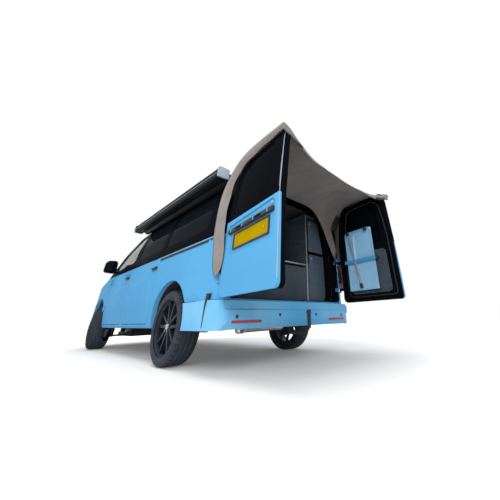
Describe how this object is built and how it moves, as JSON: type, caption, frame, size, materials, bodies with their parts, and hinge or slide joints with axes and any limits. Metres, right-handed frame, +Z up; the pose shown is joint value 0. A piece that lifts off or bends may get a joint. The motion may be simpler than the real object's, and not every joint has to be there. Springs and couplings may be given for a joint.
{
  "type": "camper van",
  "caption": "Panel van fitted out as a camper, rear barn doors open under a fabric canopy, with roof awning, tow ball, cab doors, bonnet and steered wheels",
  "frame": {"origin": "on the ground, below the middle of the whole length and width", "axes": "+X to the front of the vehicle, +Y to its left, +Z up"},
  "size_m": [5.7085, 2.2896, 1.9232],
  "materials": {
    "body_paint": "gloss two-tone, light blue below the belt and black above",
    "black_metal": "satin black",
    "underbody": "black underseal",
    "black_plastic": "grained black",
    "grey_plastic": "matt grey with a blue flap",
    "glass": "dark tinted",
    "lamp_clear": "clear lens",
    "lamp_red": "red and clear lens",
    "rim_black": "satin black alloy",
    "tyre": "matt black rubber",
    "cast": "as cast",
    "exhaust_steel": "dull steel",
    "seat_fabric": "woven dark grey",
    "lining": "dark carpet trim",
    "board": "dark laminate board",
    "table_blue": "light blue laminate",
    "canopy_fabric": "coated taupe cloth",
    "plate_yellow": "blank reflective yellow"
  },
  "bodies": {
    "vehicle_body": {"body_shell": "body_paint", "floor_pan": "underbody", "front_bumper": "body_paint", "grille": "black_plastic", "headlamps": "lamp_clear", "windscreen": "glass", "side_glass": "glass", "sliding_door": "body_paint", "rear_bumper": "body_paint", "tail_lamps": "lamp_red", "tow_bar": "underbody", "hookup_inlet": "grey_plastic", "awning_cassette": "black_metal", "dashboard": "black_plastic", "front_seats": "seat_fabric", "bed_platform": "board", "cabinet": "board", "side_lining": "lining", "rear_axle": "underbody", "front_subframe": "underbody", "engine_block": "cast", "exhaust": "exhaust_steel", "wipers": "black_plastic", "canopy_left": "canopy_fabric", "canopy_right": "canopy_fabric"},
    "wheel_rear_left": {"tyre_rear_left": "tyre", "rim_rear_left": "rim_black"},
    "wheel_rear_right": {"tyre_rear_right": "tyre", "rim_rear_right": "rim_black"},
    "steered_hub_left": {"knuckle_left": "cast"},
    "steered_hub_right": {"knuckle_right": "cast"},
    "wheel_front_left": {"tyre_front_left": "tyre", "rim_front_left": "rim_black"},
    "wheel_front_right": {"tyre_front_right": "tyre", "rim_front_right": "rim_black"},
    "cab_door_left": {"front_door_left": "body_paint", "front_glass_left": "glass"},
    "cab_door_right": {"front_door_right": "body_paint", "front_glass_right": "glass"},
    "engine_lid": {"bonnet": "body_paint"},
    "tail_door_left": {"rear_door_left": "body_paint", "rear_glass_left": "glass", "number_plate": "plate_yellow"},
    "tail_door_right": {"rear_door_right": "body_paint", "rear_glass_right": "glass", "camping_table": "table_blue"}
  },
  "joints": [
    {"name": "rear_left_spin", "type": "hinge", "parent": "vehicle_body", "child": "wheel_rear_left", "pos_m": [-1.0362, 0.816, 0.341], "axis": [0, 1, 0], "continuous": true},
    {"name": "rear_right_spin", "type": "hinge", "parent": "vehicle_body", "child": "wheel_rear_right", "pos_m": [-1.0362, -0.816, 0.341], "axis": [0, 1, 0], "continuous": true},
    {"name": "steer_left", "type": "hinge", "parent": "vehicle_body", "child": "steered_hub_left", "pos_m": [1.9638, 0.64, 0.341], "axis": [0, 0, 1], "range_deg": [-11, 59]},
    {"name": "steer_right", "type": "hinge", "parent": "vehicle_body", "child": "steered_hub_right", "pos_m": [1.9638, -0.64, 0.341], "axis": [0, 0, 1], "range_deg": [-11, 59]},
    {"name": "front_left_spin", "type": "hinge", "parent": "steered_hub_left", "child": "wheel_front_left", "pos_m": [2.03539, 0.80078, 0.341], "axis": [0.4067, 0.9135, 0], "continuous": true},
    {"name": "front_right_spin", "type": "hinge", "parent": "steered_hub_right", "child": "wheel_front_right", "pos_m": [1.89222, -0.80078, 0.341], "axis": [0.4067, 0.9135, 0], "continuous": true},
    {"name": "cab_door_left_hinge", "type": "hinge", "parent": "vehicle_body", "child": "cab_door_left", "pos_m": [1.5188, 0.966, 0.6], "axis": [0, 0, 1], "range_deg": [-65, 0]},
    {"name": "cab_door_right_hinge", "type": "hinge", "parent": "vehicle_body", "child": "cab_door_right", "pos_m": [1.5188, -0.966, 0.6], "axis": [0, 0, 1], "range_deg": [0, 65]},
    {"name": "bonnet_hinge", "type": "hinge", "parent": "vehicle_body", "child": "engine_lid", "pos_m": [2.0758, 0, 1.16], "axis": [0, 1, 0], "range_deg": [-55, 0]},
    {"name": "rear_door_left_hinge", "type": "hinge", "parent": "vehicle_body", "child": "tail_door_left", "pos_m": [-1.9482, 0.905, 0.708], "axis": [0, 0, 1], "range_deg": [0, 98]},
    {"name": "rear_door_right_hinge", "type": "hinge", "parent": "vehicle_body", "child": "tail_door_right", "pos_m": [-1.9482, -0.905, 0.708], "axis": [0, 0, 1], "range_deg": [-82, 0]}
  ],
  "couplings": [
    {"joint": "steer_right", "follows": "steer_left", "ratio": 1}
  ]
}
